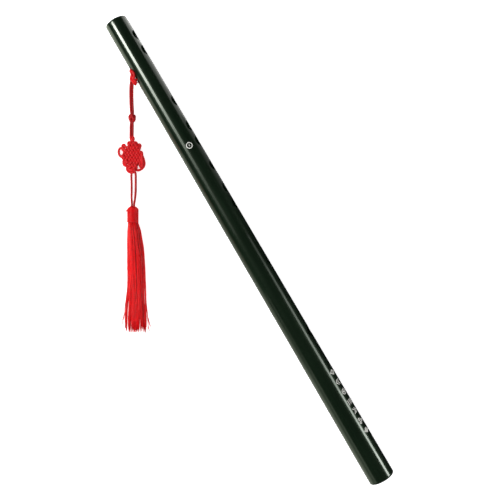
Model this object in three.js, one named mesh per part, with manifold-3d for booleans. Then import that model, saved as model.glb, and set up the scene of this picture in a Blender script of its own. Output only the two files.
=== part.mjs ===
// A side-blown flute lying on its side, with a knotted red cord and tassel tied through the two
// small holes near its foot. Millimetres, +Z up. The head end is at -X and the foot end at +X, the
// finger holes look towards -Y and the pendant lies on the +Y side. The origin is on the surface
// that the flute lies on, under the middle of its length.

import * as THREE from 'three';
import { mergeVertices } from 'three/addons/utils/BufferGeometryUtils.js';
import Module from 'manifold-3d';

const wasm = await Module();
wasm.setup();

// Driving dimensions of the flute
const fluteLength = 416;
const footDiameter = 17.8;
const headDiameter = 20.8;
const boreDiameter = 14;
const rimRound = 0.8; // outer edge of both ends
const boreEase = 0.4; // inner edge of both ends
const tubeSides = 48;

// Side holes: "from" is a hole's distance from the foot end
const holeRowTilt = -72; // degrees from straight up, negative towards -Y
const fingerHole = { length: 8.2, width: 7.4 };
const membraneHole = { length: 6.8, width: 6.2 };
const blowingHole = { length: 8.6, width: 9.0 };
const holeRow = [
  { ...fingerHole, from: 17.9 }, // lower tail hole
  { ...fingerHole, from: 31.6 }, // upper tail hole
  { ...fingerHole, from: 77.9 },
  { ...fingerHole, from: 101.0 },
  { ...fingerHole, from: 114.7 },
  { ...fingerHole, from: 136.8 },
  { ...fingerHole, from: 157.0 },
  { ...fingerHole, from: 171.7 },
  { ...membraneHole, from: 223.2 },
];
const blowingHoleFrom = 287.3;

// Two small holes for the pendant's cord
const tasselHoleTilt = 78; // degrees from straight up, positive towards +Y
const tasselHoleDiameter = 4.6;
const lowerTasselHoleFrom = 39.4;
const tasselHoleSpacing = 9.2;
const upperTasselHoleFrom = lowerTasselHoleFrom + tasselHoleSpacing;

// Stopper in the bore, past the blowing hole
const stopperLength = 15;
const stopperSetback = 9.5; // from the middle of the blowing hole to the stopper's face
const stopperClearance = 0.3;

// Pendant
const cordDiameter = 1.8;
const gap = 0.3; // between touching solids
const pendantHeading = 149.6; // degrees from +X
const hitchRadius = 2.2;
const hitchStandOff = 2.8; // from the tube's skin to the middle of the hitch
const hitchLift = 1.2; // above the tube's own middle
const doubledCordDiameter = 2.6; // the hanging loop, two cords side by side
const buttonRadius = 2.75;
const buttonLength = 7.1;
const buttonAt = 28; // from the hitch to the middle of the button knot
const buttonSide = -1.65; // sideways from the pendant's line
const knotThickness = 4.6;
const headRadius = 4.2; // tassel head
const headLength = 12.6;
const headTopAt = 98.65; // from the hitch to the top of the tassel head
const headSide = -0.65;
const bindingLength = 7.6;
const bindingWall = 0.5;
const skirtLength = 86;
const skirtNeckThickness = 7.0;
const skirtEndThickness = 3.6;

// Materials
const lacquer = new THREE.MeshStandardMaterial({ color: 0x131c15, roughness: 0.18, metalness: 0 });
const cork = new THREE.MeshStandardMaterial({ color: 0xb58a5a, roughness: 0.85, metalness: 0 });
const redCord = new THREE.MeshStandardMaterial({ color: 0xc8141e, roughness: 0.55, metalness: 0 });
const redThread = new THREE.MeshStandardMaterial({ color: 0xd01a20, roughness: 0.5, metalness: 0 });

const footX = fluteLength / 2;
const radians = THREE.MathUtils.degToRad;

// The tube's radius, and the height of its middle, at a distance from the foot end
function radiusAt(from) {
  return THREE.MathUtils.lerp(footDiameter, headDiameter, from / fluteLength) / 2;
}

// Manifold solids and back

function toSolid(geometry) {
  const bare = geometry.clone();
  bare.deleteAttribute('normal');
  bare.deleteAttribute('uv');
  const merged = mergeVertices(bare, 1e-4);
  const vertProperties = Float32Array.from(merged.attributes.position.array);
  const triVerts = Uint32Array.from(merged.index.array);
  return new wasm.Manifold(new wasm.Mesh({ numProp: 3, vertProperties, triVerts }));
}

function toGeometry(solid) {
  const mesh = solid.getMesh();
  const geometry = new THREE.BufferGeometry();
  geometry.setAttribute('position', new THREE.BufferAttribute(mesh.vertProperties, 3));
  geometry.setIndex(new THREE.BufferAttribute(mesh.triVerts, 1));
  geometry.computeVertexNormals();
  return geometry;
}

// Flute shapes

// A turned shape from (radius, distance from the foot end) pairs, laid along the flute. Each of its
// rings is lifted so that the tapering tube's underside lies flat on the ground.
function turnAlongFlute(profile, sides) {
  const points = profile.map(([radius, from]) => new THREE.Vector2(radius, footX - from));
  const geometry = new THREE.LatheGeometry(points, sides, Math.PI / sides);
  geometry.rotateZ(-Math.PI / 2);
  const place = geometry.attributes.position;
  for (let i = 0; i < place.count; i++) {
    place.setZ(i, place.getZ(i) + radiusAt(footX - place.getX(i)));
  }
  return geometry;
}

// Quarter round between an end face and a wall, as (radius, distance) pairs
function roundedEdge(radiusCentre, fromCentre, size, startAngle, endAngle, steps) {
  const pairs = [];
  for (let i = 0; i <= steps; i++) {
    const angle = radians(THREE.MathUtils.lerp(startAngle, endAngle, i / steps));
    pairs.push([radiusCentre + size * Math.cos(angle), fromCentre + size * Math.sin(angle)]);
  }
  return pairs;
}

function holeCutter(length, width, from, tilt) {
  const outline = new THREE.Shape();
  outline.absellipse(0, 0, length / 2, width / 2, 0, 2 * Math.PI);
  const depth = headDiameter; // runs from the bore's middle to well outside the wall
  const geometry = new THREE.ExtrudeGeometry(outline, { depth, bevelEnabled: false, curveSegments: 12 });
  geometry.rotateX(radians(-tilt));
  geometry.translate(footX - from, 0, radiusAt(from));
  return toSolid(geometry);
}

function fluteTube() {
  const facet = 1 / Math.cos(Math.PI / tubeSides); // the flats, not the corners, have the true radius
  const footRim = radiusAt(0) - rimRound;
  const headRim = radiusAt(fluteLength) - rimRound;
  const bore = boreDiameter / 2;
  const outer = [
    ...roundedEdge(headRim, fluteLength - rimRound, rimRound, 90, 0, 3),
    ...roundedEdge(footRim, rimRound, rimRound, 0, -90, 3),
  ].map(([radius, from]) => [radius * facet, from]);
  const inner = [
    [bore + boreEase, 0],
    [bore, boreEase],
    [bore, fluteLength - boreEase],
    [bore + boreEase, fluteLength],
  ];
  const profile = [...outer, ...inner, outer[0]];
  let tube = toSolid(turnAlongFlute(profile, tubeSides));
  for (const hole of [...holeRow, { ...blowingHole, from: blowingHoleFrom }]) {
    tube = tube.subtract(holeCutter(hole.length, hole.width, hole.from, holeRowTilt));
  }
  for (const from of [lowerTasselHoleFrom, upperTasselHoleFrom]) {
    tube = tube.subtract(holeCutter(tasselHoleDiameter, tasselHoleDiameter, from, tasselHoleTilt));
  }
  return toGeometry(tube);
}

function headStopper() {
  const radius = boreDiameter / 2 - stopperClearance;
  const chamfer = 0.6;
  const near = blowingHoleFrom + stopperSetback;
  const far = near + stopperLength;
  return turnAlongFlute([
    [0, far],
    [radius - chamfer, far],
    [radius, far - chamfer],
    [radius, near + chamfer],
    [radius - chamfer, near],
    [0, near],
  ], 32);
}

// Pendant shapes

function cordTube(points, diameter, steps) {
  const path = new THREE.CatmullRomCurve3(points, false, 'centripetal');
  const section = new THREE.Shape();
  section.absarc(0, 0, diameter / 2, 0, 2 * Math.PI);
  return new THREE.ExtrudeGeometry(section, { extrudePath: path, steps, curveSegments: 4 });
}

// An egg shape, longer along the pendant, or round in plan
function knotBall(radius, length) {
  const geometry = new THREE.SphereGeometry(radius, 16, 12);
  geometry.scale(length / (2 * radius), 1, 1);
  return geometry;
}

// Where the cord goes through the tassel holes: "out" is the height above the tube's skin
function beforeTasselHole(from, out) {
  const reach = radiusAt(from) + out;
  const tilt = radians(tasselHoleTilt);
  return new THREE.Vector3(
    footX - from,
    reach * Math.sin(tilt),
    radiusAt(from) + reach * Math.cos(tilt),
  );
}

const hitchFrom = upperTasselHoleFrom - 1.2;
const hitchY = radiusAt(hitchFrom) + hitchStandOff;
const hitchZ = radiusAt(hitchFrom) + hitchLift;
const hitchX = footX - hitchFrom;

// The cord's bight: in at one tassel hole, along the bore, out at the other
function hangingLoop() {
  const wallDepth = radiusAt(lowerTasselHoleFrom) - boreDiameter / 2;
  const inside = -wallDepth - doubledCordDiameter;
  const lower = lowerTasselHoleFrom;
  const upper = upperTasselHoleFrom;
  const points = [
    beforeTasselHole(lower + 4.2, 1.8),
    beforeTasselHole(lower + 2.3, 1.75),
    beforeTasselHole(lower + 0.6, 1.2),
    beforeTasselHole(lower, -0.6),
    beforeTasselHole(lower + 0.3, inside + 1.2),
    beforeTasselHole(lower + 2.2, inside),
    beforeTasselHole(upper - 2.2, inside),
    beforeTasselHole(upper - 0.3, inside + 1.2),
    beforeTasselHole(upper, -0.6),
    beforeTasselHole(upper, 0.5),
  ];
  return cordTube(points, doubledCordDiameter, 28);
}

// In the pendant's own directions: x along it from the hitch, y across it, z up from the ground
function along(x, y, z) {
  return new THREE.Vector3(x, y, z);
}

function hangerStrand(side) {
  const offset = (side * (cordDiameter + gap)) / 2;
  const start = hitchRadius + gap + 0.2;
  const rest = buttonRadius + 0.1;
  const end = buttonAt - buttonLength / 2 - gap;
  return cordTube([
    along(start, -0.3 + offset, hitchZ - 0.3),
    along(6, -1.9 + offset, rest + 4.9),
    along(10, -2.2 + offset, rest + 2.6),
    along(14, -2.2 + offset, rest + 1.0),
    along(18, -2.2 + offset, rest + 0.2),
    along(end, buttonSide + offset, rest),
  ], cordDiameter, 8);
}

function neckStrand(side) {
  const offset = (side * (cordDiameter + gap)) / 2;
  const start = buttonAt + buttonLength / 2 + gap;
  return cordTube([
    along(start, buttonSide + offset, buttonRadius),
    along(37, -1.6 + offset, 2.6),
    along(43.2, -1.9 + offset, knotThickness / 2),
  ], cordDiameter, 4);
}

function knotPlate(grown) {
  const outline = new THREE.CatmullRomCurve3([
    along(43.7, -1.8, 0),
    along(46.8, 0.6, 0),
    along(50.5, 2.1, 0),
    along(56, 4.0, 0),
    along(62, 5.0, 0),
    along(67, 2.6, 0),
    along(70.4, -0.2, 0),
    along(70.0, -3.4, 0),
    along(65, -6.0, 0),
    along(59, -6.8, 0),
    along(52, -6.6, 0),
    along(46.8, -4.6, 0),
  ], true);
  const shape = new THREE.Shape(outline.getPoints(24).slice(0, -1).map((p) => new THREE.Vector2(p.x, p.y)));
  const round = 1.4;
  const thickness = knotThickness + 2 * grown;
  const geometry = new THREE.ExtrudeGeometry(shape, {
    depth: thickness - 2 * round,
    bevelThickness: round,
    bevelSize: round,
    bevelOffset: grown - round,
    bevelSegments: 2,
  });
  geometry.translate(0, 0, round - grown);
  return geometry;
}

// A loop of cord at the knot's edge; its two ends stop short of the knot's body
function knotLoop(points) {
  const height = knotThickness / 2 - 0.5;
  const route = points.map(([x, y]) => along(x, y, height));
  const tube = toSolid(cordTube(route, cordDiameter, 12));
  return toGeometry(tube.subtract(toSolid(knotPlate(gap))));
}

const knotLoops = {
  knot_loop_left: [[52.6, -5.2], [52.2, -9.2], [53.0, -11.9], [55.3, -12.7], [57.7, -11.8], [58.6, -9.2], [58.2, -5.2]],
  knot_loop_upper_left: [[46.9, -2.8], [46.7, -6.8], [48.4, -8.3], [50.0, -7.4], [49.8, -4.0]],
  knot_loop_lower_left: [[61.0, -4.4], [61.3, -7.5], [63.2, -8.5], [65.0, -7.3], [64.8, -4.0]],
  knot_loop_bottom: [[67.6, -2.4], [67.6, -5.6], [69.4, -6.0], [71.0, -4.6], [71.3, -2.2], [69.2, -1.2]],
  knot_loop_lower_right: [[65.6, 1.2], [66.7, 4.4], [67.8, 5.8], [69.5, 5.5], [70.4, 3.4], [68.6, 0.4]],
  knot_loop_right: [[54.5, 1.6], [56.5, 5.4], [60.0, 7.1], [63.2, 7.7], [64.5, 6.1], [62.4, 2.6]],
  knot_loop_upper_right: [[48.4, -0.6], [48.8, 3.2], [50.4, 4.3], [52.0, 3.4], [51.8, 0.4]],
};

function dropStrand(side) {
  const low = knotThickness / 2;
  const end = headTopAt - gap - 0.1;
  const offset = (side * (cordDiameter + gap)) / 2;
  const spread = side * 0.5; // the strands stand further apart below the knot
  return cordTube([
    along(72.9, -0.7 + offset + spread, low),
    along(79, -0.7 + offset + spread, low),
    along(86, -0.6 + offset + spread, low + 0.3),
    along(92, -0.6 + offset + spread / 3, low + 1.1),
    along(end, headSide + offset, headRadius + 0.1),
  ], cordDiameter, 8);
}

// A turned shape from (radius, distance below the tassel's top) pairs
function turnTassel(profile, sides) {
  const points = profile.map(([radius, below]) => new THREE.Vector2(radius, below));
  const geometry = new THREE.LatheGeometry(points, sides);
  geometry.rotateZ(-Math.PI / 2);
  geometry.translate(headTopAt, headSide, headRadius + 0.1);
  return geometry;
}

function tasselHead() {
  const core = headRadius - bindingWall - gap;
  const dome = [];
  for (let i = 0; i <= 6; i++) {
    const angle = radians(15 * i);
    dome.push([headRadius * Math.sin(angle), headRadius * (1 - Math.cos(angle))]);
  }
  dome[0][0] = 0;
  const shoulder = headLength - bindingLength - gap;
  return turnTassel([...dome, [headRadius, shoulder], [core, shoulder], [core, headLength], [0, headLength]], 20);
}

function tasselBinding() {
  const inner = headRadius - bindingWall;
  const top = headLength - bindingLength;
  const ease = 0.15;
  return turnTassel([
    [inner, top],
    [headRadius - ease, top],
    [headRadius, top + ease],
    [headRadius, headLength - ease],
    [headRadius - ease, headLength],
    [inner, headLength],
    [inner, top],
  ], 20);
}

// The flattened bundle of threads below the binding
function tasselSkirt() {
  const top = headTopAt + headLength + gap;
  const edges = [
    { down: 0, left: -3.9, right: 2.6 },
    { down: 0.045, left: -5.4, right: 4.8 },
    { down: 0.22, left: -5.3, right: 7.9 },
    { down: 0.4, left: -5.1, right: 9.6 },
    { down: 0.68, left: -5.9, right: 9.8 },
    { down: 0.94, left: -7.4, right: 10.4 },
    { down: 1, left: -6.7, right: 10.0 },
  ];
  const rightEdge = edges.map(({ down, right }) => new THREE.Vector2(top + down * skirtLength, right));
  const leftEdge = edges.map(({ down, left }) => new THREE.Vector2(top + down * skirtLength, left));
  const shape = new THREE.Shape([...rightEdge, ...leftEdge.reverse()]);
  const round = 0.3; // shares of the thickness
  const geometry = new THREE.ExtrudeGeometry(shape, {
    depth: 1 - 2 * round,
    bevelThickness: round,
    bevelSize: 1.3,
    bevelOffset: -1.3,
    bevelSegments: 2,
  });
  geometry.translate(0, 0, round);
  const place = geometry.attributes.position;
  for (let i = 0; i < place.count; i++) {
    const down = (place.getX(i) - top) / skirtLength;
    const thinning = THREE.MathUtils.smoothstep(down, 0, 0.6);
    place.setZ(i, place.getZ(i) * THREE.MathUtils.lerp(skirtNeckThickness, skirtEndThickness, thinning));
  }
  return geometry;
}

// Assembly

function addMesh(parent, name, geometry, material) {
  const mesh = new THREE.Mesh(geometry, material);
  mesh.name = name;
  parent.add(mesh);
  return mesh;
}

const group = new THREE.Group();
addMesh(group, 'flute_tube', fluteTube(), lacquer);
addMesh(group, 'head_stopper', headStopper(), cork);
addMesh(group, 'hanging_loop', hangingLoop(), redCord);

const pendant = new THREE.Group();
pendant.position.set(hitchX, hitchY, 0);
pendant.rotation.z = radians(pendantHeading);
group.add(pendant);

addMesh(pendant, 'hitch_knot', knotBall(hitchRadius, 2 * hitchRadius), redCord).position.z = hitchZ;
addMesh(pendant, 'hanger_strand_left', hangerStrand(-1), redCord);
addMesh(pendant, 'hanger_strand_right', hangerStrand(1), redCord);
const button = addMesh(pendant, 'button_knot', knotBall(buttonRadius, buttonLength), redCord);
button.position.set(buttonAt, buttonSide, buttonRadius + 0.1);
addMesh(pendant, 'neck_strand_left', neckStrand(-1), redCord);
addMesh(pendant, 'neck_strand_right', neckStrand(1), redCord);
addMesh(pendant, 'mystic_knot', knotPlate(0), redCord);
for (const [name, points] of Object.entries(knotLoops)) {
  addMesh(pendant, name, knotLoop(points), redCord);
}
addMesh(pendant, 'drop_strand_left', dropStrand(-1), redCord);
addMesh(pendant, 'drop_strand_right', dropStrand(1), redCord);
addMesh(pendant, 'tassel_head', tasselHead(), redThread);
addMesh(pendant, 'tassel_binding', tasselBinding(), redThread);
addMesh(pendant, 'tassel_skirt', tasselSkirt(), redThread);

export default group;
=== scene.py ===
import bpy, bmesh, math, random
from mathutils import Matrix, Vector, noise


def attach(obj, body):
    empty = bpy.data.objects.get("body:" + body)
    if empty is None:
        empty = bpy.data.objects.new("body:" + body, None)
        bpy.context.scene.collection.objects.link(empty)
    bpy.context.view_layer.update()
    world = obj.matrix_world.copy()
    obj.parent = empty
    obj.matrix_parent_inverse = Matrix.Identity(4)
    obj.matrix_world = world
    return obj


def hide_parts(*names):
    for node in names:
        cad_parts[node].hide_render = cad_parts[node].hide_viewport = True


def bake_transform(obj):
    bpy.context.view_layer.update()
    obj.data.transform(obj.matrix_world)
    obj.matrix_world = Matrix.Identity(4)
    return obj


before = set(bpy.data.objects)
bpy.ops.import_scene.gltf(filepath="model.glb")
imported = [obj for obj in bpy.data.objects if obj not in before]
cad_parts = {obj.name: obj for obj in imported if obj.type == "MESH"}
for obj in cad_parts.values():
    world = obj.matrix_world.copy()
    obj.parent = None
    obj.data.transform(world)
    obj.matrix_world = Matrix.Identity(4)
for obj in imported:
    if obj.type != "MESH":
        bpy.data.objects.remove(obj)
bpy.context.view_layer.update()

random.seed(11)
noise.seed_set(11)  # noise vectors differ from run to run without it
mm = 0.001  # all sizes below are in millimetres, and become metres when a piece is finished
print("frame loaded:", len(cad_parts), "solids")

# the camera looks straight down at the table
camera = {"place": (-0.00097, -0.00067, 0.6015), "turn": -120.28, "lens": 54.07, "sensor": 36,
          "near": 0.01, "far": 20}
lens = bpy.data.cameras.new("camera")
lens.lens, lens.sensor_width = camera["lens"], camera["sensor"]
lens.clip_start, lens.clip_end = camera["near"], camera["far"]
eye = bpy.data.objects.new("camera", lens)
eye.location = camera["place"]
eye.rotation_euler = (0, 0, math.radians(camera["turn"]))
bpy.context.collection.objects.link(eye)
bpy.context.scene.camera = eye


# helpers for materials and meshes
def newMaterial(name):
    made = bpy.data.materials.new(name)
    made.use_nodes = True
    tree = made.node_tree
    return made, tree, tree.nodes["Principled BSDF"]


def addNode(tree, kind, settings=None, **inputs):
    made = tree.nodes.new(kind)
    for key, value in (settings or {}).items():
        setattr(made, key, value)
    for key, value in inputs.items():
        socket = made.inputs[int(key[2:]) if key.startswith("in") else key.replace("_", " ")]
        if isinstance(value, bpy.types.NodeSocket):
            tree.links.new(value, socket)
        else:
            socket.default_value = value
    return made


def maths(tree, operation, first, second=0.5, third=0.0):
    made = addNode(tree, "ShaderNodeMath", {"operation": operation}, in0=first, in1=second, in2=third)
    return made.outputs[0]


def ramp(tree, factor, *stops):
    made = addNode(tree, "ShaderNodeValToRGB", None, Fac=factor)
    marks = made.color_ramp.elements
    while len(marks) < len(stops):
        marks.new(0.5)
    for mark, (place, colour) in zip(marks, stops):
        mark.position = place
        mark.color = (*colour, 1)
    return made.outputs["Color"]


def objectPlace(tree, scale=(1, 1, 1), turn=(0, 0, 0)):
    place = addNode(tree, "ShaderNodeTexCoord").outputs["Object"]
    mapped = addNode(tree, "ShaderNodeMapping", None, Vector=place, Scale=scale, Rotation=turn)
    return mapped.outputs["Vector"]


def clouds(tree, place, scale, detail, roughness=0.5):
    made = addNode(tree, "ShaderNodeTexNoise", None, Vector=place, Scale=scale, Detail=detail,
                   Roughness=roughness)
    return made.outputs["Fac"]


def addBump(tree, shader, height, strength, distance, socket="Normal"):
    bumped = addNode(tree, "ShaderNodeBump", None, Height=height, Strength=strength, Distance=distance)
    tree.links.new(bumped.outputs["Normal"], shader.inputs[socket])


# UV of a laid tube: x is mm along it, y is turns round it
def tubeUv(tree):
    uv = addNode(tree, "ShaderNodeUVMap", {"uv_map": "UVMap"}).outputs["UV"]
    split = addNode(tree, "ShaderNodeSeparateXYZ", None, Vector=uv).outputs
    return split["X"], split["Y"]


# the shade attribute: a random tone on each thread and lock, and on the cords a painted light and shade set per
# piece
def tubeShade(tree):
    return addNode(tree, "ShaderNodeAttribute", {"attribute_name": "shade"}).outputs["Fac"]


def setSheen(shader, finish):
    shader.inputs["Sheen Weight"].default_value = finish["sheen"]
    shader.inputs["Sheen Roughness"].default_value = finish["sheenRoughness"]
    shader.inputs["Sheen Tint"].default_value = (*finish["sheenTint"], 1)
    shader.inputs["Specular IOR Level"].default_value = finish["specular"]


def finishPiece(name, bm, material, body, slotName, *nodes):
    bmesh.ops.scale(bm, vec=(mm, mm, mm), verts=bm.verts[:])
    mesh = bpy.data.meshes.new(name)
    bm.to_mesh(mesh)
    bm.free()
    mesh.shade_smooth()
    mesh.materials.append(material)
    piece = bpy.data.objects.new(name, mesh)
    bpy.context.collection.objects.link(piece)
    if body:
        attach(piece, body)
    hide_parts(*nodes)
    return piece


# a smooth line through a few points, cut into even steps
def throughPoints(points, step=0.4, closed=False, rounding=1):
    cuts = 10  # straight bits between two points, before the even steps
    points = [Vector(p) for p in points]
    count = len(points)
    line = []
    for k in range(count if closed else count - 1):
        here, after = points[k], points[(k + 1) % count]
        before = points[k - 1] if closed or k else here * 2 - after
        beyond = points[(k + 2) % count] if closed or k + 2 < count else after * 2 - here
        reach = (after - here).length / 3
        leaving = (after - before).normalized() * reach
        arriving = (beyond - here).normalized() * reach
        for i in range(cuts):
            t = i / cuts
            a, b, c, d = (1 - t) ** 3, 3 * t * (1 - t) ** 2, 3 * t * t * (1 - t), t ** 3
            line.append(here * a + (here + leaving) * b + (after - arriving) * c + after * d)
    line.append(line[0].copy() if closed else points[-1])
    for _ in range(rounding):
        last = len(line) - 1
        for i in range(1, last):
            line[i] = (line[i - 1] + line[i] * 2 + line[i + 1]) / 4
    gone = [0]
    for a, b in zip(line, line[1:]):
        gone.append(gone[-1] + (b - a).length)
    steps = max(4, round(gone[-1] / step))
    even, k = [], 0
    for i in range(steps + 1):
        wanted = gone[-1] * i / steps
        while k < len(gone) - 2 and gone[k + 1] < wanted:
            k += 1
        span = gone[k + 1] - gone[k]
        even.append(line[k].lerp(line[k + 1], (wanted - gone[k]) / span if span else 0))
    return even


def lengthOf(line):
    return sum((b - a).length for a, b in zip(line, line[1:]))


# rolls a grid into a tube round the line, with its UV in mm along and turns round
def layTube(bm, line, radius, sides=10, closed=False, shade=0.5):
    steps = len(line) - 1
    bm.loops.layers.uv.verify()
    shades = bm.verts.layers.float.get("shade") or bm.verts.layers.float.new("shade")
    verts = bmesh.ops.create_grid(bm, x_segments=steps, y_segments=sides, size=1, calc_uvs=True)["verts"]
    ahead = []
    for i in range(steps + 1):
        if closed:
            ahead.append((line[(i + 1) % steps] - line[(i - 1) % steps]).normalized())
        else:
            ahead.append((line[min(i + 1, steps)] - line[max(i - 1, 0)]).normalized())
    first = ahead[0].cross(Vector((0, 0, 1)))
    if first.length < 0.1:
        first = ahead[0].cross(Vector((0, 1, 0)))
    across = [first.normalized()]
    for i in range(1, steps + 1):
        carried = across[-1] - ahead[i] * across[-1].dot(ahead[i])
        across.append(carried.normalized())
    drift = 0
    if closed:
        up = ahead[0].cross(across[0])
        drift = math.atan2(across[-1].dot(up), across[-1].dot(across[0]))
    total = lengthOf(line)
    for vert in verts:
        i = round((vert.co.x + 1) / 2 * steps)
        turn = (vert.co.y + 1) * math.pi - drift * i / steps
        r = radius(i / steps) if callable(radius) else radius
        up = ahead[i].cross(across[i])
        vert.co = line[i] + (across[i] * math.cos(turn) + up * math.sin(turn)) * r
    uvLayer = bm.loops.layers.uv.active
    for face in {face for vert in verts for face in vert.link_faces}:
        for loop in face.loops:
            loop[uvLayer].uv.x *= total
    for vert in verts:
        vert[shades] = shade
    bmesh.ops.remove_doubles(bm, verts=verts, dist=1e-4)
    if not closed:
        ends = [e for e in {e for v in verts if v.is_valid for e in v.link_edges} if e.is_boundary]
        bmesh.ops.edgeloop_fill(bm, edges=ends)


# a place on the pendant: mm down it from the hitch, mm to the side, and height
def hang(along, side, height):
    return Vector((160.6 - 0.86251 * along - 0.50603 * side,
                   11.8709 + 0.50603 * along - 0.86251 * side, height))


redCord = {"colour": (0.66, 0.0034, 0.0072), "dark": (0.20, 0.0005, 0.0018), "light": (0.98, 0.016, 0.022),
           "roughness": 0.50, "specular": 0.25,
           "sheen": 0.06, "sheenRoughness": 0.4, "sheenTint": (1, 0.10, 0.10),
           "strands": 4, "strandPitch": 2.6, "fibreScale": 9000, "patchScale": 260,
           "bump": 0.8, "depth": 0.00016}


def braidedCord():
    made, tree, shader = newMaterial("braided satin cord")
    along, around = tubeUv(tree)
    along = maths(tree, "DIVIDE", along, redCord["strandPitch"])
    around = maths(tree, "MULTIPLY", around, redCord["strands"])
    leftTurn, rightTurn = maths(tree, "ADD", around, along), maths(tree, "SUBTRACT", around, along)
    leftGoing = maths(tree, "SINE", maths(tree, "MULTIPLY", leftTurn, 2 * math.pi))
    rightGoing = maths(tree, "SINE", maths(tree, "MULTIPLY", rightTurn, 2 * math.pi))
    plait = maths(tree, "MAXIMUM", leftGoing, rightGoing)
    plaitUp = maths(tree, "MULTIPLY_ADD", plait, 0.5, 0.5)
    fibres = clouds(tree, objectPlace(tree), redCord["fibreScale"], 3, 0.6)
    patches = clouds(tree, objectPlace(tree), redCord["patchScale"], 2)
    # the braid's ridges are drawn lighter and its grooves darker, painted shade that follows the bump; the
    # shade attribute adds each piece's painted light and shade
    paintedShade = maths(tree, "MULTIPLY_ADD", tubeShade(tree), 0.6, maths(tree, "MULTIPLY", plaitUp, 0.5))
    uneven = maths(tree, "MULTIPLY_ADD", fibres, 0.22, maths(tree, "MULTIPLY_ADD", patches, 0.2, -0.24))
    mixed = maths(tree, "ADD", paintedShade, uneven)
    colour = ramp(tree, mixed, (0.25, redCord["dark"]), (0.6, redCord["colour"]), (0.95, redCord["light"]))
    tree.links.new(colour, shader.inputs["Base Color"])
    rough = maths(tree, "MULTIPLY_ADD", fibres, 0.25, redCord["roughness"] - 0.12)
    tree.links.new(rough, shader.inputs["Roughness"])
    setSheen(shader, redCord)
    height = maths(tree, "ADD", plaitUp, maths(tree, "MULTIPLY", fibres, 0.35))
    addBump(tree, shader, height, redCord["bump"], redCord["depth"])
    return made


cordFinish = braidedCord()
# the strands carry a low shade, so the same red cord is drawn darker on them than on the knots: painted shade
cordSize = {"diameter": 1.8, "step": 0.5, "sides": 12,
            "apart": 0.80, "lean": 0.28,  # half the strands' distance, and half the difference in their heights
            "dropApart": 1.0, "dropSpread": 0.7, "shade": {"hanger": 0.27, "drop": 0.26}}


def strandRoute(side):
    o, down = side * cordSize["apart"], side * cordSize["lean"]
    return [hang(*p) for p in (
        (-0.6, -0.3 + o * 0.8, 10.9 - down), (2.7, -0.9 + o, 9.97 - down), (6, -1.5 + o, 7.6 - down),
        (10, -1.9 + o, 5.2 - down), (14, -2.1 + o, 3.5 - down), (18, -2.1 + o, 2.6 - down),
        (22, -1.9 + o, 2.5 - down), (24.6, -1.65 + o * 0.8, 2.75 - down), (28, -1.65 + o * 0.6, 2.85),
        (31.4, -1.8 + o * 0.8, 2.75), (34.5, -2.05 + o, 2.3 - down), (38, -2.1 + o, 2.1 - down),
        (41.5, -2.1 + o, 2.3 - down), (44.0, -2.0 + o, 2.9), (46.0, -1.6 + o * 0.8, 2.9))]


def dropRoute(side):
    o, spread = side * cordSize["dropApart"], side * cordSize["dropSpread"]
    return [hang(*p) for p in (
        (66.5, -0.9 + o * 0.7, 2.6), (69.8, -0.5 + o, 2.6), (72.9, -0.5 + o + spread, 2.1),
        (79, -0.5 + o + spread, 1.5), (86, -0.5 + o + spread * 0.9, 1.5),
        (91.5, -0.6 + o + spread * 0.6, 2.2),
        (95.5, -0.6 + o, 3.4), (99, -0.65 + o * 0.9, 4.2), (104.5, -0.65 + o * 0.6, 4.3))]


cordPieces = []
for side, word in ((-1, "left"), (1, "right")):
    for stretch, route in (("hanger", strandRoute), ("drop", dropRoute)):
        bm = bmesh.new()
        line = throughPoints(route(side), cordSize["step"], rounding=3)
        layTube(bm, line, cordSize["diameter"] / 2, cordSize["sides"], shade=cordSize["shade"][stretch])
        names = ([f"hanger_strand_{word}", f"neck_strand_{word}"] if stretch == "hanger"
                 else [f"drop_strand_{word}"])
        cordPiece = finishPiece(f"{stretch}Cord{word.title()}", bm, cordFinish, None, "red_cord", *names)
        cordPieces.append((cordPiece, stretch, line))
print("cords laid")

tube = {"length": 416, "footDiameter": 17.8, "headDiameter": 20.8, "bore": 14,
        "sides": 88, "steps": 260, "endRound": 0.8, "boreEase": 0.35, "holeRound": 0.4, "innerRound": 0.12,
        "holes": [  # from the foot, tilt, length along, width across
            (17.9, -72, 8.2, 7.4), (31.6, -72, 8.2, 7.4), (77.9, -72, 8.2, 7.4), (101.0, -72, 8.2, 7.4),
            (114.7, -72, 8.2, 7.4), (136.8, -72, 8.2, 7.4), (157.0, -72, 8.2, 7.4), (171.7, -72, 8.2, 7.4),
            (223.2, -72, 6.8, 6.2), (287.3, -72, 8.6, 9.0), (39.4, 78, 4.6, 4.6), (48.6, 78, 4.6, 4.6)]}
halfTube = tube["length"] / 2


def radiusAt(fromFoot):
    share = fromFoot / tube["length"]
    return (tube["footDiameter"] * (1 - share) + tube["headDiameter"] * share) / 2


# a place on the tube: mm from the foot, degrees from the top, mm out from the lacquer
def onTube(fromFoot, tilt, out):
    r, a = radiusAt(fromFoot), math.radians(tilt)
    return Vector((halfTube - fromFoot, (r + out) * math.sin(a), r + (r + out) * math.cos(a)))


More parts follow.
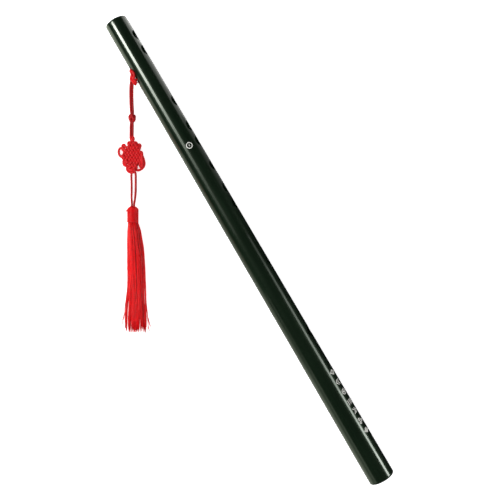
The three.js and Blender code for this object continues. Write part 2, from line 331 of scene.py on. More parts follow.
# upper and lower strand of the doubled cord: from the hitch into one hole, along the bore, out of the other
hangingLoop = {
    "cord": 1.8, "step": 0.4, "strands": ("upper", "lower"),
    "upper": [(47.4, 72, 2.4), (46.2, 62, 1.4), (44.3, 56, 1.0), (42.3, 57, 0.98), (41.0, 64, 0.9),
              (40.6, 70.5, -0.6), (40.5, 72, -2.2), (41.2, 73, -3.2), (44, 74, -3.4), (47.4, 74, -3.2),
              (48.4, 74, -2.2), (48.5, 73.5, -0.6), (48.3, 72.5, 0.7), (47.3, 74, 1.9)],
    "lower": [(47.6, 83, 2.9), (46.2, 77, 2.7), (44.5, 69, 2.1), (42.4, 67.5, 1.5), (40.3, 73, 0.9),
              (39.3, 78, -0.6), (39.5, 80, -2.2), (41.0, 82, -3.2), (44, 83, -3.4), (47.4, 83, -3.2),
              (48.4, 83, -2.2), (48.5, 82.5, -0.6), (48.3, 81, 0.8), (47.4, 79, 2.0)]}
bm = bmesh.new()
for strand in hangingLoop["strands"]:
    route = [onTube(*p) for p in hangingLoop[strand]]
    layTube(bm, throughPoints(route, hangingLoop["step"], rounding=3), hangingLoop["cord"] / 2, 12)
hangingLoopPiece = finishPiece("hangingLoop", bm, cordFinish, "flute", "red_cord", "hanging_loop")

# the hitch's shade of 0.62 draws the same cord lighter here: painted light
hitch = {"cord": 1.9, "shade": 0.62, "points": 16, "dip": 0.15,
         # each turn: place along, to the side, height, slant, half length, half height
         "turns": ((-2.6, -0.9, 10.9, -14, 2.0, 1.8), (-2.0, 0.55, 11.2, 6, 1.7, 1.7),
                   (0.2, 1.6, 10.8, 42, 2.2, 1.8), (1.1, 0.5, 10.6, 42, 2.4, 1.8))}
bm = bmesh.new()
for along, side, height, slant, halfLength, halfHeight in hitch["turns"]:
    ring, slant = [], math.radians(slant)
    for i in range(hitch["points"]):
        a = i / hitch["points"] * 2 * math.pi
        far = math.cos(a) * halfLength
        ring.append(hang(along + far * math.cos(slant), side + far * math.sin(slant),
                         height + math.sin(a) * halfHeight + hitch["dip"] * math.cos(2 * a)))
    layTube(bm, throughPoints(ring, closed=True), hitch["cord"] / 2, 12, closed=True, shade=hitch["shade"])
hitchKnot = finishPiece("hitchKnot", bm, cordFinish, "hitch", "red_cord", "hitch_knot")

# one cord woven three times round a ball, with four bights
# the button's shade of 0.3 draws the same cord darker here: painted shade
button = {"at": (28.2, -1.6, 3.05), "wide": 2.2, "high": 1.75, "long": 3.0, "turns": 3, "bights": 4, "tilt": 58,
          "weave": 0.34, "cord": 1.7, "points": 96, "step": 0.35, "shade": 0.3}
bm = bmesh.new()
path = []
for i in range(button["points"]):
    a = i / button["points"] * 2 * math.pi
    lon, lat = button["turns"] * a, math.radians(button["tilt"]) * math.cos(button["bights"] * a)
    bulge = 1 + button["weave"] / 2.0 * math.sin(2 * button["bights"] * a)
    out = button["wide"] * math.cos(lat) * bulge
    path.append(hang(button["at"][0] + button["long"] * math.sin(lat), button["at"][1] + out * math.cos(lon),
                     button["at"][2] + out * math.sin(lon) * button["high"] / button["wide"]))
layTube(bm, throughPoints(path, button["step"], closed=True), button["cord"] / 2, 10, closed=True,
        shade=button["shade"])
buttonKnot = finishPiece("buttonKnot", bm, cordFinish, "hanger", "red_cord", "button_knot")
print("hitch and button knot tied")

# the mystic knot: two cords of seven lines each, woven over and under on the front and plain on the back
# the front cords' shade of 0.54 draws them a little lighter than the back cords: painted light
mystic = {"top": (44.0, -1.2), "half": (13.7, 8.9), "lines": 7, "frontHeight": 3.45, "backHeight": 1.4,
          "over": 0.72, "unevenness": 0.3, "turnOut": 1.15, "turnHeight": 2.9, "turnInset": 0.03,
          "cord": 2.02, "step": 0.45, "shade": 0.54, "backCord": 1.76, "backStep": 0.5}


# f and g run from 0 to 1 along the two diagonals of the knot's face
def crossing(f, g, level):
    along = mystic["top"][0] + mystic["half"][0] * (f + g)
    side = mystic["top"][1] + mystic["half"][1] * (g - f)
    wobble = noise.noise_vector(Vector((along * 0.35, side * 0.35, level))) * mystic["unevenness"] * 2
    return (along + wobble.x, side + wobble.y, level)


def weave(kind, k, backwards, front=True):
    count = mystic["lines"] if front else mystic["lines"] - 1
    shares = [(n + (0.5 if front else 1)) / mystic["lines"] for n in range(count)]
    middle = mystic["frontHeight"] if front else mystic["backHeight"]
    lift = mystic["over"] if front else mystic["over"] * 0.5
    run = []
    for n in range(count):
        over = ((k + n) % 2 == 0) == (kind == "a")
        level = middle + (lift if over else -lift)
        f, g = (shares[k], shares[n]) if kind == "a" else (shares[n], shares[k])
        run.append(crossing(f, g, level))
    return run[::-1] if backwards else run


# a tight turn from line k to the next, round the edge of the woven face
def turnRound(kind, k, atEnd):
    along, height, out = (k + 1) / mystic["lines"], mystic["turnHeight"], mystic["turnOut"]
    edge = 1 - mystic["turnInset"] if atEnd else mystic["turnInset"]
    f, g = (along, edge) if kind == "a" else (edge, along)
    a, s, _ = crossing(f, g, height)
    way = 1 if atEnd else -1
    return [(a + way * out * 0.62, s + way * out * (0.78 if kind == "a" else -0.78), height)]


# the longer loops left standing round the face, by the line that they follow
ears = {
    ("a", 0): [(59.6, 7.2, 3.0), (62.2, 7.9, 2.4), (64.8, 8.1, 1.7), (66.9, 7.2, 1.3), (68.6, 5.5, 1.3),
               (69.6, 3.2, 1.8), (68.6, 1.2, 1.6), (66.0, 1.8, 1.1), (63.2, 3.6, 1.1), (61.0, 5.0, 1.9)],
    ("a", 3): [(50.9, -7.2, 3.3), (49.4, -7.8, 2.6), (49.6, -9.2, 2.2), (51.4, -9.2, 2.5), (52.9, -7.8, 3.0)],
    ("a", 5): [(53.6, -8.8, 2.9), (51.9, -10.3, 2.2), (52.6, -12.0, 1.5), (54.8, -12.6, 1.1),
               (57.2, -12.0, 1.1), (58.7, -10.4, 1.5), (58.2, -8.8, 2.4)],
    ("b", 2): [(61.0, -7.7, 2.8), (62.8, -8.6, 2.3), (65.0, -8.2, 2.1), (66.1, -6.9, 2.5), (64.9, -6.3, 3.3),
               (63.4, -6.9, 3.7), (62.7, -6.0, 3.9)],
    ("b", 3): [(50.4, 3.6, 3.4), (49.0, 3.9, 2.8), (49.7, 5.0, 2.6), (51.7, 4.6, 3.0)],
    ("b", 4): [(66.4, -5.2, 2.9), (68.6, -5.6, 2.3), (70.6, -4.6, 2.1), (71.5, -2.3, 2.3), (70.9, 0.0, 2.8),
               (69.5, 0.5, 3.6), (69.5, -1.2, 4.3), (69.5, -3.1, 3.9), (68.2, -4.2, 3.4)],
    ("b", 5): [(55.4, 6.2, 3.6), (58.0, 6.6, 4.0), (60.6, 6.6, 4.1), (63.4, 6.7, 3.8), (66.0, 6.4, 2.8),
               (67.0, 5.3, 2.4), (65.6, 4.6, 2.9), (63.0, 5.2, 3.5), (60.0, 5.7, 3.6), (57.6, 5.6, 3.3)]}


def wovenCord(kind, lead, tail):
    run = list(lead)
    for k in range(mystic["lines"]):
        run += weave(kind, k, k % 2 == 1)
        if k < mystic["lines"] - 1:
            run += ears.get((kind, k)) or turnRound(kind, k, k % 2 == 0)
    return run + list(tail)


leftCord = wovenCord("a", [(43.0, -2.9, 2.6), (44.6, -2.3, 3.1)], [(71.0, 0.5, 2.5)])
rightCord = wovenCord("b", [(43.0, -1.2, 2.6), (44.6, -0.3, 3.1)], [(71.2, -2.3, 2.5)])
bm = bmesh.new()
for cord in (leftCord, rightCord):
    route = throughPoints([hang(*p) for p in cord], mystic["step"], rounding=3)
    layTube(bm, route, mystic["cord"] / 2, 12, shade=mystic["shade"])
for kind in ("a", "b"):
    run = []
    for k in range(mystic["lines"] - 1):
        run += weave(kind, k, k % 2 == 1, front=False)
    route = throughPoints([hang(*p) for p in run], mystic["backStep"], rounding=3)
    layTube(bm, route, mystic["backCord"] / 2, 10)
loops = ["left", "upper_left", "lower_left", "bottom", "lower_right", "right", "upper_right"]
mysticKnot = finishPiece("mysticKnot", bm, cordFinish, "knot", "red_cord", "mystic_knot",
                         *[f"knot_loop_{word}" for word in loops])
print("mystic knot woven, longest cord in it", round(lengthOf([hang(*p) for p in leftCord])), "mm")

# the strands' transforms are baked into their meshes; the spans under the button knot and at the tassel's head
# are picked out, but nothing bends them
for cordPiece, stretch, line in cordPieces:
    if stretch == "hanger":
        start, end = hang(26.2, -1.65, 2.85), hang(29.8, -1.65, 2.85)
        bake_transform(cordPiece)
    else:
        start, end = hang(97.5, -0.65, 4.3), hang(104.5, -0.65, 4.3)
        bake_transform(cordPiece)

tassel = {"radius": 4.45, "side": -0.65, "height": 4.25, "top": 98.4, "neck": 111.4, "end": 195.4,
          "crown": 3.4, "crownThreads": 60, "crownThreadWidth": 0.54, "coreInset": 0.5,
          "windings": 25, "windingWidth": 0.52, "windingFrom": 1.7, "windingLong": 11.0,
          "threads": 820, "threadWidth": 0.47, "steps": 13, "root": 109.6, "rootRadius": 3.5, "lowest": 0.45,
          "edges": [  # share down the skirt, its left edge, its right edge
              (0, -4.2, 3.3), (0.045, -5.2, 5.0), (0.22, -5.2, 7.3), (0.4, -5.1, 9.2), (0.68, -5.7, 9.5),
              (0.94, -7.0, 10.0), (1.05, -7.4, 10.2)],
          "thickness": (7.6, 3.4), "strayWidth": 0.34}
redThread = {"colour": (0.66, 0.0018, 0.0044), "dark": (0.17, 0.0003, 0.0012), "light": (0.98, 0.010, 0.014),
             "roughness": 0.34, "sheen": 0.05, "sheenRoughness": 0.35, "sheenTint": (1, 0.10, 0.10),
             "specular": 0.22, "twist": 1.9, "lockScale": 420, "bump": 0.5, "depth": 0.00006}


def silkThread():
    made, tree, shader = newMaterial("fine rayon thread")
    along, around = tubeUv(tree)
    along, around = maths(tree, "DIVIDE", along, redThread["twist"]), maths(tree, "MULTIPLY", around, 2)
    twist = maths(tree, "SINE", maths(tree, "MULTIPLY", maths(tree, "ADD", around, along), 2 * math.pi))
    locks = clouds(tree, objectPlace(tree), redThread["lockScale"], 3)
    # the locks give a random tone; the twist's grooves are drawn a little darker, painted shade that follows
    # the bump
    uneven = maths(tree, "ADD", maths(tree, "MULTIPLY", locks, 0.34), maths(tree, "MULTIPLY", twist, 0.05))
    mixed = maths(tree, "ADD", maths(tree, "MULTIPLY", tubeShade(tree), 0.62), uneven)
    colour = ramp(tree, mixed, (0.12, redThread["dark"]), (0.5, redThread["colour"]), (0.9, redThread["light"]))
    tree.links.new(colour, shader.inputs["Base Color"])
    rough = maths(tree, "MULTIPLY_ADD", locks, 0.3, redThread["roughness"] - 0.15)
    tree.links.new(rough, shader.inputs["Roughness"])
    setSheen(shader, redThread)
    addBump(tree, shader, maths(tree, "MULTIPLY_ADD", twist, 0.5, 0.5), redThread["bump"], redThread["depth"])
    return made


threadFinish = silkThread()


# the head is domed at its top, and a little drawn in under its binding
def headRadius(along):
    down = along - tassel["top"]
    if down < tassel["crown"]:
        return tassel["radius"] * math.sqrt(max(0.02, 1 - ((tassel["crown"] - down) / 3.6) ** 2))
    return tassel["radius"] - 0.12 * math.sin((down - tassel["crown"]) / 9.6 * math.pi)


def onHead(along, angle, out=0.0):
    r = headRadius(along) + out
    return hang(along, tassel["side"] + r * math.cos(angle), tassel["height"] + r * math.sin(angle))


# the folded hank: a core, with threads over its crown; the core is drawn darker (shade 0.35) than the threads,
# painted shade in the gaps between them
bm = bmesh.new()
core = [hang(tassel["top"] + i * 0.5, tassel["side"], tassel["height"]) for i in range(28)]
coreLong = 13.5
layTube(bm, core, lambda share: headRadius(tassel["top"] + share * coreLong) - tassel["coreInset"], 28,
        shade=0.35)
for n in range(tassel["crownThreads"]):
    angle = n / tassel["crownThreads"] * 2 * math.pi + random.uniform(-0.03, 0.03)
    run = [onHead(tassel["top"] + d, angle + random.uniform(-0.03, 0.03), -0.42 + (0.12 if d > 0.3 else -0.3))
           for d in (0.05, 0.5, 1.2, 2.2, 3.6, 5.0)]
    layTube(bm, throughPoints(run, 0.7), tassel["crownThreadWidth"] / 2, 5, shade=random.uniform(0.2, 0.9))
finishPiece("tasselHead", bm, threadFinish, "tassel", "red_thread", "tassel_head")

# the thread wound round it
bm = bmesh.new()
run = []
turns, samples = tassel["windings"], 26
for i in range(turns * samples + 1):
    share = i / (turns * samples)
    along = tassel["top"] + tassel["windingFrom"] + share * tassel["windingLong"] + 0.05 * math.sin(i * 0.37)
    run.append(onHead(along, i / samples * 2 * math.pi, 0.05 * math.sin(i * 0.11) - 0.06))
layTube(bm, run, tassel["windingWidth"] / 2, 6, shade=0.5)
# the binding's cut end, a small tuft on the left
tuft = [hang(101.4, -4.4, 4.6), hang(101.9, -5.3, 4.4), hang(102.7, -5.7, 4.0)]
for n in range(5):
    run = [p + Vector((n * 0.1, n * 0.07, n * 0.12 - 0.2)) for p in tuft]
    layTube(bm, throughPoints(run), 0.2, 5, shade=0.5)
finishPiece("tasselBinding", bm, threadFinish, "tassel", "red_thread", "tassel_binding")


def skirtEdges(share):
    rows = tassel["edges"]
    for (a, leftA, rightA), (b, leftB, rightB) in zip(rows, rows[1:]):
        if share <= b or b == rows[-1][0]:
            t = min(1, max(0, (share - a) / (b - a)))
            return leftA + (leftB - leftA) * t, rightA + (rightB - rightA) * t


def downSkirt(share):
    return tassel["neck"] + share * (tassel["end"] - tassel["neck"])


def smooth01(t):
    t = min(1, max(0, t))
    return t * t * (3 - 2 * t)


# the skirt parts into locks, each with a shade of its own
lockMiddles = [-0.98, -0.86, -0.68, -0.55, -0.42, -0.29, -0.17, -0.05,
               0.07, 0.2, 0.31, 0.44, 0.58, 0.69, 0.81, 0.97]
lockShades = [random.uniform(-0.22, 0.22) for _ in lockMiddles]


def nearestLock(a):
    return min(range(len(lockMiddles)), key=lambda k: abs(lockMiddles[k] - a))


# share runs down the skirt, a from its left edge at -1 to its right edge at 1, b up from the floor
def skirtPlace(share, a, b, stray):
    left, right = skirtEdges(share)
    lock = lockMiddles[nearestLock(a)]
    pull = smooth01((share - 0.3) / 0.55) * (0.85 if abs(a) > 0.42 else 0.6)
    a = a + (lock - a) * pull
    wave = noise.noise(Vector((a * 2.2, share * 2.9, 3.1))) * 0.17
    wave = wave + noise.noise(Vector((a * 6, share * 7, 9))) * 0.07
    a = a + wave * smooth01(share * 3) + stray * smooth01(share * 1.4)
    atNeck, atEnd = tassel["thickness"]
    thick = atNeck + (atEnd - atNeck) * smooth01(share / 0.6)
    thick = thick * math.sqrt(max(0.12, 1 - min(1, abs(a)) ** 2 * 0.8))
    up = 0.35 + thick * b + 0.25 * noise.noise(Vector((a * 9, share * 7, b * 4)))
    side = (left + right) / 2 + (right - left) / 2 * a
    return hang(downSkirt(share), side, max(tassel["lowest"], up))


bm = bmesh.new()
for _ in range(tassel["threads"]):
    ring, angle = math.sqrt(random.random()), random.uniform(0, 2 * math.pi)
    a, b = ring * math.cos(angle), (ring * math.sin(angle) + 1) / 2
    stray = random.gauss(0, 0.03)
    reach = 1 + random.gauss(0, 0.02)
    steps, spread = tassel["steps"], tassel["rootRadius"]
    line = [hang(tassel["root"], tassel["side"] + spread * a, tassel["height"] + spread * (2 * b - 1))]
    for i in range(1, steps + 1):
        line.append(skirtPlace(reach * i / steps, a, b, stray))
    width = tassel["threadWidth"] * random.uniform(0.6, 1.35) / 2
    shade = min(1, max(0, random.gauss(0.54, 0.2) + lockShades[nearestLock(a)]))
    layTube(bm, line, lambda share: width * (1 if share < 0.85 else 1 - (share - 0.85) * 3.2), 4, shade=shade)
# stray threads that left the bundle, lying on the floor
strays = [[(0.6, -0.85), (0.8, -1.02), (0.92, -1.28), (0.965, -1.5)],
          [(0.6, -0.9), (0.85, -1.1), (0.98, -1.32)],
          [(0.62, 0.9), (0.8, 1.0), (0.92, 1.14), (1.03, 1.43)],
          [(0.62, 0.9), (0.85, 1.05), (0.985, 1.34)],
          [(0.55, 0.92), (0.8, 1.03), (1.0, 1.16), (1.045, 1.3)],
          [(0.3, -0.95), (0.45, -1.07), (0.6, -1.0), (0.7, -0.95)],
          [(0.5, -0.92), (0.7, -1.08), (0.86, -1.2), (0.93, -1.22)],
          [(0.7, 0.95), (0.86, 1.1), (0.95, 1.14), (1.02, 1.12)]]
for run in strays:
    points = []
    for share, a in run:
        left, right = skirtEdges(share)
        points.append(hang(downSkirt(share), (left + right) / 2 + (right - left) / 2 * a,
                           0.32 + 0.5 * max(0, 1 - share) ** 2))
    layTube(bm, throughPoints(points, 2.2), tassel["strayWidth"] / 2, 4, shade=0.55)
finishPiece("tasselSkirt", bm, threadFinish, "tassel", "red_thread", "tassel_skirt")
print("tassel bound,", tassel["threads"], "threads")

lacquer = {"colour": (0.0036, 0.0098, 0.0042), "deep": (0.0022, 0.0058, 0.0026),
           "worn": (0.0066, 0.0160, 0.0074),
           "roughness": 0.30, "specular": 0.3, "specularTint": (0.77, 1, 0.77),
           "coat": 0.85, "coatRoughness": 0.07, "coatIor": 1.45, "grainBump": 0.025, "depth": 0.0002}


def lacqueredBamboo():
    made, tree, shader = newMaterial("dark green lacquer on bamboo")
    # the bamboo's long grain under the lacquer, and slow changes in its depth
    grain = clouds(tree, objectPlace(tree, (18, 900, 900)), 1.0, 5, 0.62)
    cloud = clouds(tree, objectPlace(tree, (14, 60, 60)), 1.0, 3)
    mixed = maths(tree, "ADD", maths(tree, "MULTIPLY", grain, 0.6), maths(tree, "MULTIPLY", cloud, 0.4))
    colour = ramp(tree, mixed, (0.3, lacquer["deep"]), (0.55, lacquer["colour"]), (0.8, lacquer["worn"]))
    tree.links.new(colour, shader.inputs["Base Color"])
    # hairline scratches and handling marks in the gloss
    hair = clouds(tree, objectPlace(tree, (60, 2600, 2600), (0.02, 0.05, 0.09)), 1.0, 2)
    hairs = ramp(tree, hair, (0.66, (0, 0, 0)), (0.74, (1, 1, 1)))
    rough = maths(tree, "ADD", maths(tree, "MULTIPLY_ADD", cloud, 0.16, lacquer["roughness"] - 0.08),
                  maths(tree, "MULTIPLY", hairs, 0.12))
    tree.links.new(rough, shader.inputs["Roughness"])
    shader.inputs["Coat Weight"].default_value = lacquer["coat"]
    shader.inputs["Coat Roughness"].default_value = lacquer["coatRoughness"]
    shader.inputs["Coat IOR"].default_value = lacquer["coatIor"]
    shader.inputs["Specular IOR Level"].default_value = lacquer["specular"]
    shader.inputs["Specular Tint"].default_value = (*lacquer["specularTint"], 1)
    addBump(tree, shader, grain, lacquer["grainBump"] * 2, lacquer["depth"])
    # the faint unevenness of a brushed coat
    brushed = clouds(tree, objectPlace(tree, (120, 260, 260)), 1.0, 1)
    addBump(tree, shader, brushed, lacquer["grainBump"], lacquer["depth"], "Coat Normal")
    return made


tubeFinish = lacqueredBamboo()
# a flat sheet with the holes cut in it, which is rolled up and then given its wall
bm = bmesh.new()
fromFootOf = bm.verts.layers.float.new("fromFoot")
tiltOf = bm.verts.layers.float.new("tilt")
acrossOf = bm.verts.layers.float.new("acrossHole")
length, sides, steps = tube["length"], tube["sides"], tube["steps"]
cellLong, cellTurn = length / steps, 360 / sides
sheetVerts = bmesh.ops.create_grid(bm, x_segments=steps, y_segments=sides, size=1)["verts"]
seamTilt = 180 + cellTurn / 2
for vert in sheetVerts:
    vert[fromFootOf] = (vert.co.x + 1) / 2 * length
    vert[tiltOf] = -seamTilt + (vert.co.y + 1) * 180
    vert[acrossOf] = 0
    vert.co = (vert[fromFootOf], vert[tiltOf], 0)
for fromFoot, tilt, long, wide in tube["holes"]:
    r = radiusAt(fromFoot)
    halfTurn = math.degrees(math.asin(wide / 2 / r)) + cellTurn * 0.75
    halfLong = long / 2 + cellLong * 0.7
    cut = [f for f in bm.faces if abs(f.calc_center_median().x - fromFoot) < halfLong
           and abs(f.calc_center_median().y - tilt) < halfTurn]
    rim = {e for f in cut for e in f.edges}
    bmesh.ops.delete(bm, geom=cut, context="FACES")
    rim = [e for e in rim if e.is_valid and e.is_boundary]
    grown = bmesh.ops.extrude_edge_only(bm, edges=rim)["geom"]
    for vert in [g for g in grown if isinstance(g, bmesh.types.BMVert)]:
        x, turn = vert[fromFootOf] - fromFoot, vert[tiltOf] - tilt
        way = math.atan2(turn / halfTurn * wide, x / halfLong * long)
        vert[fromFootOf] = fromFoot + math.cos(way) * long / 2
        vert[tiltOf] = tilt
        vert[acrossOf] = math.sin(way) * wide / 2


def rollUp(vert, r):
    tilt = math.radians(vert[tiltOf]) + math.asin(vert[acrossOf] / r)
    middle = radiusAt(vert[fromFootOf])
    vert.co = (halfTube - vert[fromFootOf], r * math.sin(tilt), middle + r * math.cos(tilt))


for vert in bm.verts:
    rollUp(vert, radiusAt(vert[fromFootOf]))
bmesh.ops.remove_doubles(bm, verts=bm.verts[:], dist=1e-3)
inner = bmesh.ops.extrude_face_region(bm, geom=bm.faces[:], use_keep_orig=True)["geom"]
for vert in [g for g in inner if isinstance(g, bmesh.types.BMVert)]:
    rollUp(vert, tube["bore"] / 2)
bmesh.ops.recalc_face_normals(bm, faces=bm.faces[:])
corners = [e for e in bm.edges if len(e.link_faces) == 2 and e.calc_face_angle() > 0.9]


def outwards(edge):
    spot = (edge.verts[0].co + edge.verts[1].co) / 2
    return math.hypot(spot.y, spot.z - radiusAt(halfTube - spot.x)) > tube["bore"] / 2 + 0.6


atEnd = [e for e in corners if min(abs(v.co.x) for v in e.verts) > halfTube - 0.1]
atHole = [e for e in corners if e not in set(atEnd)]
for edges, size, segments in (([e for e in atEnd if outwards(e)], tube["endRound"], 4),
                              ([e for e in atEnd if not outwards(e)], tube["boreEase"], 2),
                              ([e for e in atHole if outwards(e)], tube["holeRound"], 3),
                              ([e for e in atHole if not outwards(e)], tube["innerRound"], 1)):
    bmesh.ops.bevel(bm, geom=[e for e in edges if e.is_valid], offset=size, offset_type="OFFSET",
                    segments=segments, profile=0.5, affect="EDGES", material=-1, clamp_overlap=True)
fluteTube = finishPiece("fluteTube", bm, tubeFinish, "flute", "lacquered_bamboo", "flute_tube")
weighted = fluteTube.modifiers.new("even shading", "WEIGHTED_NORMAL")
weighted.keep_sharp, weighted.weight = False, 60
print("tube turned,", len(fluteTube.data.polygons), "faces")

# printed ornaments: seven near the head, and one by the finger holes
marks = {"height": 0.035, "stroke": 0.62, "size": 5.1, "tilt": -55,
         "places": [-115.5, -124.3, -133.1, -142.3, -150.1, -159.0, -167.7],
         "keyPlace": 92.9, "keyTilt": -6, "keySize": 5.3}
markPaint = {"colour": (0.80, 0.80, 0.75), "worn": (0.50, 0.51, 0.46), "roughness": 0.5}


def palePaint():
    made, tree, shader = newMaterial("pale printed ink")
    flecks = clouds(tree, objectPlace(tree), 1800, 4, 0.7)
    colour = ramp(tree, flecks, (0.38, markPaint["worn"]), (0.52, markPaint["colour"]))
    tree.links.new(colour, shader.inputs["Base Color"])
    rough = maths(tree, "MULTIPLY_ADD", flecks, 0.3, markPaint["roughness"] - 0.15)
    tree.links.new(rough, shader.inputs["Roughness"])
    addBump(tree, shader, flecks, 0.4, 0.00003)
    return made


# a flat stroke through points on the skin, each in shares of half the mark's size
def stroke(bm, points, width, closed=False):
    points = [Vector(p) for p in points]
    if closed:
        points.append(points[0])
    verts = bmesh.ops.create_grid(bm, x_segments=len(points) - 1, y_segments=1, size=1)["verts"]
    for vert in verts:
        i, side = round((vert.co.x + 1) / 2 * (len(points) - 1)), vert.co.y
        before = points[i - 1] if i else (points[-2] if closed else points[0])
        after = points[i + 1] if i < len(points) - 1 else (points[1] if closed else points[-1])
        here = points[i]
        into, out = (here - before).normalized(), (after - here).normalized()
        way = (into + out).normalized()
        normal = Vector((-way.y, way.x))
        bend = max(0.5, normal.dot(Vector((-out.y, out.x)) if out.length else Vector((-into.y, into.x))))
        spot = here + normal * side * width / 2 / bend
        vert.co = (spot.x, spot.y, 0)
    bmesh.ops.remove_doubles(bm, verts=verts, dist=1e-4)


def ringPoints(radius, count=20, centre=(0, 0)):
    angles = [i / count * 2 * math.pi for i in range(count)]
    return [(centre[0] + radius * math.cos(a), centre[1] + radius * math.sin(a)) for a in angles]


def straight(a, b, count=5):
    return [Vector(a).lerp(Vector(b), i / count) for i in range(count + 1)]


def bent(*corners):
    run = []
    for a, b in zip(corners, corners[1:]):
        run += straight(a, b, 4)[:-1]
    return run + [Vector(corners[-1])]


lozenge = bent((0, 1), (0.72, 0), (0, -1), (-0.72, 0), (0, 1))[:-1]
ornaments = [
    [(lozenge, True), (straight((-0.25, 0), (0.25, 0)), False)],
    [(bent((-0.9, 0.1), (0, 0.95), (0.9, 0.1)), False), (bent((-0.9, -0.75), (0, 0.1), (0.9, -0.75)), False)],
    [(ringPoints(0.8), True), (ringPoints(0.22, 10), True)],
    [(straight((-0.85, 0.8), (0.85, 0.8)), False), (straight((-0.85, 0), (0.85, 0)), False),
     (straight((-0.85, -0.8), (0.85, -0.8)), False)],
    [(bent((-0.9, -0.1), (0, -0.95), (0.9, -0.1)), False), (bent((-0.9, 0.75), (0, -0.1), (0.9, 0.75)), False)],
    [(ringPoints(0.34, 12, (-0.55, 0.5)), True), (ringPoints(0.34, 12, (0.55, 0.5)), True),
     (ringPoints(0.34, 12, (0, -0.55)), True)],
    [(lozenge, True), ([Vector(p) * 0.45 for p in lozenge], True)]]
keyMark = [(ringPoints(0.86, 24), True), (straight((-0.3, 0), (0.3, 0)), False)]


def printMark(bm, place, tilt, size, strokes):
    placed = bm.verts.layers.int.get("placed") or bm.verts.layers.int.new("placed")
    for points, closed in strokes:
        stroke(bm, [Vector(p) * size / 2 for p in points], marks["stroke"], closed)
    faces = [f for f in bm.faces if not f.verts[0][placed]]
    lower = bmesh.ops.extrude_face_region(bm, geom=faces, use_keep_orig=True)["geom"]
    for vert in [g for g in lower if isinstance(g, bmesh.types.BMVert)]:
        vert.co.z = -1
    for vert in [v for v in bm.verts if not v[placed]]:
        r = radiusAt(halfTube - place - vert.co.x)
        across = math.radians(tilt) + vert.co.y / r
        out = r + (marks["height"] if vert.co.z == 0 else -marks["height"])
        vert.co = (place + vert.co.x, out * math.sin(across), r + out * math.cos(across))
        vert[placed] = 1


markFinish = palePaint()
bm = bmesh.new()
for place, strokes in zip(marks["places"], ornaments):
    printMark(bm, place, marks["tilt"], marks["size"], strokes)
bmesh.ops.recalc_face_normals(bm, faces=bm.faces[:])
finishPiece("headOrnaments", bm, markFinish, "flute", "lacquered_bamboo")
bm = bmesh.new()
printMark(bm, marks["keyPlace"], marks["keyTilt"], marks["keySize"], keyMark)
bmesh.ops.recalc_face_normals(bm, faces=bm.faces[:])
finishPiece("keyOrnament", bm, markFinish, "flute", "lacquered_bamboo")
print("marks printed")

# the stopper keeps its solid and gets a cork of grains and dark flecks
cork = {"colour": (0.42, 0.23, 0.10), "dark": (0.12, 0.05, 0.02), "light": (0.58, 0.36, 0.18), "roughness": 0.9,
        "grainScale": 900, "fleckScale": 500, "bump": 0.6, "depth": 0.0002}
corkFinish, tree, shader = newMaterial("raw cork")
grains = addNode(tree, "ShaderNodeTexVoronoi", None, Vector=objectPlace(tree), Scale=cork["grainScale"])
flecks = clouds(tree, objectPlace(tree), cork["fleckScale"], 4)
colour = ramp(tree, flecks, (0.36, cork["dark"]), (0.46, cork["colour"]), (0.7, cork["light"]))
tree.links.new(colour, shader.inputs["Base Color"])
shader.inputs["Roughness"].default_value = cork["roughness"]
addBump(tree, shader, grains.outputs["Distance"], cork["bump"], cork["depth"])
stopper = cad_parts["head_stopper"]
stopper.data.materials.clear()
stopper.data.materials.append(corkFinish)

floor = {"size": 6, "colour": (0.93, 0.93, 0.93), "glow": 0.62, "roughness": 0.8, "specular": 0.1,
         "height": -0.0002}
bm = bmesh.new()
bmesh.ops.create_grid(bm, x_segments=8, y_segments=8, size=floor["size"])
mesh = bpy.data.meshes.new("floor")
bm.to_mesh(mesh)
bm.free()
floorPiece = bpy.data.objects.new("floor", mesh)
floorPiece.location.z = floor["height"]
bpy.context.collection.objects.link(floorPiece)
floorFinish, tree, shader = newMaterial("pale table")
shader.inputs["Base Color"].default_value = (*floor["colour"], 1)
shader.inputs["Roughness"].default_value = floor["roughness"]
shader.inputs["Specular IOR Level"].default_value = floor["specular"]
shader.inputs["Emission Color"].default_value = (1, 1, 1, 1)
shader.inputs["Emission Strength"].default_value = floor["glow"]
mesh.materials.append(floorFinish)
floorPiece.visible_glossy = False

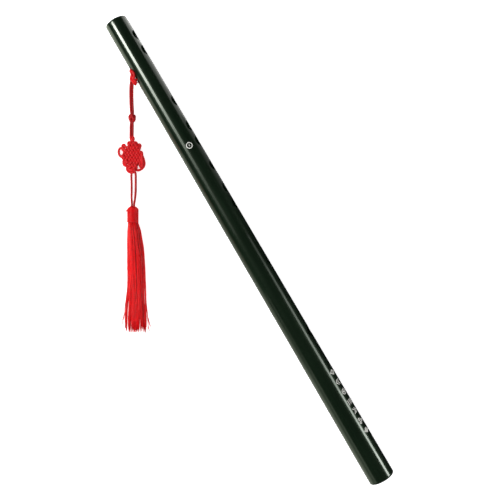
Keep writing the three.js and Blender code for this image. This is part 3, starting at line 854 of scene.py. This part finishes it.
# these strips show only as reflections in the lacquer, the soft boxes light only what is matt
strips = {
    "foot": {"from": (0.050, 0.509, 0.718), "to": (0.530, 0.509, 0.718), "wide": 0.36,
             "tint": (1, 1, 0.95), "power": (0.4, 0.5, 0.8, 1.6, 3.2, 6.0, 11, 18, 26, 32)},
    "head": {"from": (0.030, -0.606, 0.298), "to": (-0.450, -0.606, 0.298), "wide": 0.22,
             "tint": (0.96, 1, 0.95), "power": (0.8, 1.6, 2.8, 4.4, 6.4, 9, 12, 15)},
    "headGlow": {"from": (-0.080, 0.80, 0.24), "to": (-0.560, 0.80, 0.24), "wide": 0.34,
                 "tint": (0.9, 1, 0.8), "power": (0.4, 0.7, 0.8)},
    "underLeft": {"from": (-0.60, 0.65, -0.38), "to": (0.66, 0.65, -0.38), "wide": 0.8,
                  "tint": (0.91, 1, 0.79), "power": (0.75, 0.75, 0.6, 0.6, 0.8, 1.2, 2.4)},
    "underRight": {"from": (0.10, -0.45, -0.20), "to": (0.70, -0.45, -0.20), "wide": 0.7,
                   "tint": (1, 1, 0.97), "power": (0.3, 1.0, 1.8, 2.0, 2.2)},
    "farFoot": {"from": (0.70, 0.55, 0.62), "to": (2.10, 0.55, 0.62), "wide": 0.30,
                "tint": (1, 1, 0.97), "power": (3, 3, 3)},
    "farHead": {"from": (-0.70, -0.60, 0.50), "to": (-2.10, -0.60, 0.50), "wide": 0.30,
                "tint": (1, 1, 0.97), "power": (3, 3, 3)}}
softBoxes = {"topSoftbox": {"at": (0.1, 0.2, 1.5), "size": 2.6, "power": 0.60},
             "sideSoftbox": {"at": (0.65, 1.15, 0.95), "size": 0.9, "power": 6.0}}
backdropLight = {"colour": (0.96, 0.96, 0.96), "strength": 0.60, "inGloss": 0.02}


def addLight(name, place, aim, size, radiance, glossy, matt, tint=(1, 1, 1)):
    data = bpy.data.lights.new(name, "AREA")
    data.shape, data.size, data.size_y = "RECTANGLE", size[0], size[1]
    data.energy = radiance * size[0] * size[1] * math.pi
    data.color = tint
    made = bpy.data.objects.new(name, data)
    made.location = place
    made.rotation_euler = (Vector(aim) - Vector(place)).to_track_quat("-Z", "Y").to_euler()
    made.visible_glossy, made.visible_diffuse, made.visible_camera = glossy, matt, False
    bpy.context.collection.objects.link(made)


for name, strip in strips.items():
    start, end = Vector(strip["from"]), Vector(strip["to"])
    count = len(strip["power"])
    for i, power in enumerate(strip["power"]):
        place = start.lerp(end, (i + 0.5) / count)
        aim = Vector((place.x, 0, 0.01))
        size = ((end - start).length / count, strip["wide"])
        addLight(f"{name}Strip{i}", place, aim, size, power, glossy=True, matt=False, tint=strip["tint"])
for name, box in softBoxes.items():
    addLight(name, box["at"], (0, 0, 0), (box["size"], box["size"]), box["power"], glossy=False, matt=True)

world = bpy.data.worlds.new("studio")
bpy.context.scene.world = world
world.use_nodes = True
tree = world.node_tree
backdrop = tree.nodes["Background"]
ray = addNode(tree, "ShaderNodeLightPath").outputs
reflected = maths(tree, "MULTIPLY_ADD", ray["Is Glossy Ray"], backdropLight["inGloss"] - 1, 1.0)
tree.links.new(maths(tree, "MULTIPLY", reflected, backdropLight["strength"]), backdrop.inputs["Strength"])
backdrop.inputs["Color"].default_value = (*backdropLight["colour"], 1)
bpy.context.scene.view_settings.view_transform = "Standard"
print("lit")
